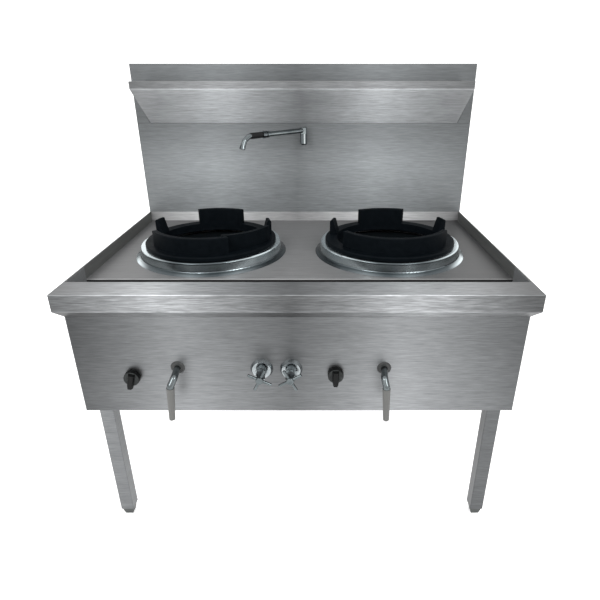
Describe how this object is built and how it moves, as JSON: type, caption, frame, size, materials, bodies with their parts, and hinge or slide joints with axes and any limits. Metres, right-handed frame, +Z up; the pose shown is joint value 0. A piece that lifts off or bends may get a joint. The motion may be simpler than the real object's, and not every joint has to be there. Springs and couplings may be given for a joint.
{
  "type": "wok range",
  "caption": "Free-standing gas wok range: recessed deck with raised cast wok rings, front gutter, knee levers, taps, swing spout, splashback and pot shelf on tube legs.",
  "frame": {"origin": "centre of the footprint on the floor, under the feet", "axes": "+Z up, +X to the user's right, +Y from the front panel to the splashback"},
  "size_m": [1.2, 0.9212, 1.318],
  "materials": {
    "brushed": "horizontally brushed stainless steel",
    "worktop": "satin stainless steel",
    "dark_steel": "dull stainless side walls",
    "polished": "polished stainless steel",
    "chrome": "chrome plated",
    "cast_iron": "black cast iron",
    "pit_steel": "heat-blackened steel",
    "frame_steel": "stainless tube",
    "zinc": "galvanised steel",
    "brass": "machined brass",
    "gas_pipe": "grey painted steel pipe",
    "knob_black": "black moulded plastic",
    "sleeve_grey": "grey plastic sleeve",
    "grip_black": "ribbed black grip",
    "foot_grey": "dark grey moulded foot",
    "dark_disc": "dark pressed disc"
  },
  "bodies": {
    "base": {"burner_hangers": "pit_steel", "burner_head_left": "cast_iron", "burner_head_right": "cast_iron", "collar_left": "polished", "collar_right": "polished", "cross_rails": "zinc", "deck_bearers": "zinc", "deck_plate": "worktop", "fire_pit_left": "pit_steel", "fire_pit_right": "pit_steel", "front_fascia": "brushed", "front_panel": "brushed", "gas_manifold": "gas_pipe", "gas_pipes": "gas_pipe", "gutter_trough": "worktop", "injectors": "brass", "leg_front_left": "frame_steel", "leg_front_right": "frame_steel", "leg_inserts": "zinc", "leg_rear_left": "frame_steel", "leg_rear_right": "frame_steel", "lever_escutcheons": "dark_disc", "lever_valves": "brass", "pilot_burners": "brass", "pot_shelf": "brushed", "rear_panel": "zinc", "rear_panel_screws": "zinc", "safety_valves": "brass", "shelf_ends": "brushed", "side_panel_left": "brushed", "side_panel_right": "brushed", "side_rails": "zinc", "side_rims": "dark_steel", "splash_casing": "brushed", "splash_front": "brushed", "spout_riser": "chrome", "tap_bodies": "brass", "tap_flanges": "chrome", "waste_outlet": "worktop", "water_pipes": "chrome"},
    "foot_front_left": {"foot_front_left": "foot_grey"},
    "foot_front_right": {"foot_front_right": "foot_grey"},
    "foot_rear_left": {"foot_rear_left": "foot_grey"},
    "foot_rear_right": {"foot_rear_right": "foot_grey"},
    "strainer": {"gutter_strainer": "worktop"},
    "lever_left": {"knee_lever_left": "chrome", "lever_sleeve_left": "sleeve_grey"},
    "lever_right": {"knee_lever_right": "chrome", "lever_sleeve_right": "sleeve_grey"},
    "knob_left": {"knob_left": "knob_black"},
    "knob_right": {"knob_right": "knob_black"},
    "spout": {"spout_arm": "chrome", "spout_grip": "grip_black", "spout_nozzle": "chrome"},
    "tap_left": {"tap_handle_left": "chrome"},
    "tap_right": {"tap_handle_right": "chrome"},
    "stem_left": {"valve_stem_left": "brass"},
    "stem_right": {"valve_stem_right": "brass"},
    "wok_ring_left": {"wok_ring_left": "cast_iron"},
    "wok_ring_right": {"wok_ring_right": "cast_iron"}
  },
  "joints": [
    {"name": "foot_turn_front_left", "type": "hinge", "parent": "base", "child": "foot_front_left", "pos_m": [-0.554, -0.3194, 0.027], "axis": [0, 0, 1], "range_deg": [0, 3600]},
    {"name": "foot_turn_front_right", "type": "hinge", "parent": "base", "child": "foot_front_right", "pos_m": [0.554, -0.3194, 0.027], "axis": [0, 0, 1], "range_deg": [0, 3600]},
    {"name": "foot_turn_rear_left", "type": "hinge", "parent": "base", "child": "foot_rear_left", "pos_m": [-0.554, 0.3896, 0.027], "axis": [0, 0, 1], "range_deg": [0, 3600]},
    {"name": "foot_turn_rear_right", "type": "hinge", "parent": "base", "child": "foot_rear_right", "pos_m": [0.554, 0.3896, 0.027], "axis": [0, 0, 1], "range_deg": [0, 3600]},
    {"name": "ring_lift_left", "type": "slide", "parent": "base", "child": "wok_ring_left", "axis": [0, 0, 1], "range_m": [0, 0.15]},
    {"name": "ring_lift_right", "type": "slide", "parent": "base", "child": "wok_ring_right", "axis": [0, 0, 1], "range_m": [0, 0.15]},
    {"name": "knob_push_left", "type": "slide", "parent": "base", "child": "stem_left", "axis": [0, 1, 0], "range_m": [0, 0.004], "stiffness_N_per_m": 800, "springref_m": -0.003},
    {"name": "knob_turn_left", "type": "hinge", "parent": "stem_left", "child": "knob_left", "pos_m": [-0.4358, -0.3964, 0.5592], "axis": [0, 1, 0], "range_deg": [-14, 166]},
    {"name": "knob_push_right", "type": "slide", "parent": "base", "child": "stem_right", "axis": [0, 1, 0], "range_m": [0, 0.004], "stiffness_N_per_m": 800, "springref_m": -0.003},
    {"name": "knob_turn_right", "type": "hinge", "parent": "stem_right", "child": "knob_right", "pos_m": [0.0974, -0.3964, 0.5677], "axis": [0, 1, 0], "range_deg": [0, 180]},
    {"name": "lever_swing_left", "type": "hinge", "parent": "base", "child": "lever_left", "pos_m": [-0.3155, -0.3904, 0.5852], "axis": [0, -1, 0], "range_deg": [-3, 87]},
    {"name": "lever_swing_right", "type": "hinge", "parent": "base", "child": "lever_right", "pos_m": [0.2242, -0.3904, 0.583], "axis": [0, -1, 0], "range_deg": [-12, 78]},
    {"name": "tap_turn_left", "type": "hinge", "parent": "base", "child": "tap_left", "pos_m": [-0.096, -0.4444, 0.5813], "axis": [0, -1, 0], "range_deg": [0, 930]},
    {"name": "tap_turn_right", "type": "hinge", "parent": "base", "child": "tap_right", "pos_m": [-0.019, -0.4444, 0.58], "axis": [0, -1, 0], "range_deg": [0, 930]},
    {"name": "spout_swing", "type": "hinge", "parent": "base", "child": "spout", "pos_m": [0, 0.3566, 1.103], "axis": [0, 0, 1], "range_deg": [-44, 128]},
    {"name": "strainer_lift", "type": "slide", "parent": "base", "child": "strainer", "axis": [0, 0, 1], "range_m": [0, 0.1]}
  ]
}
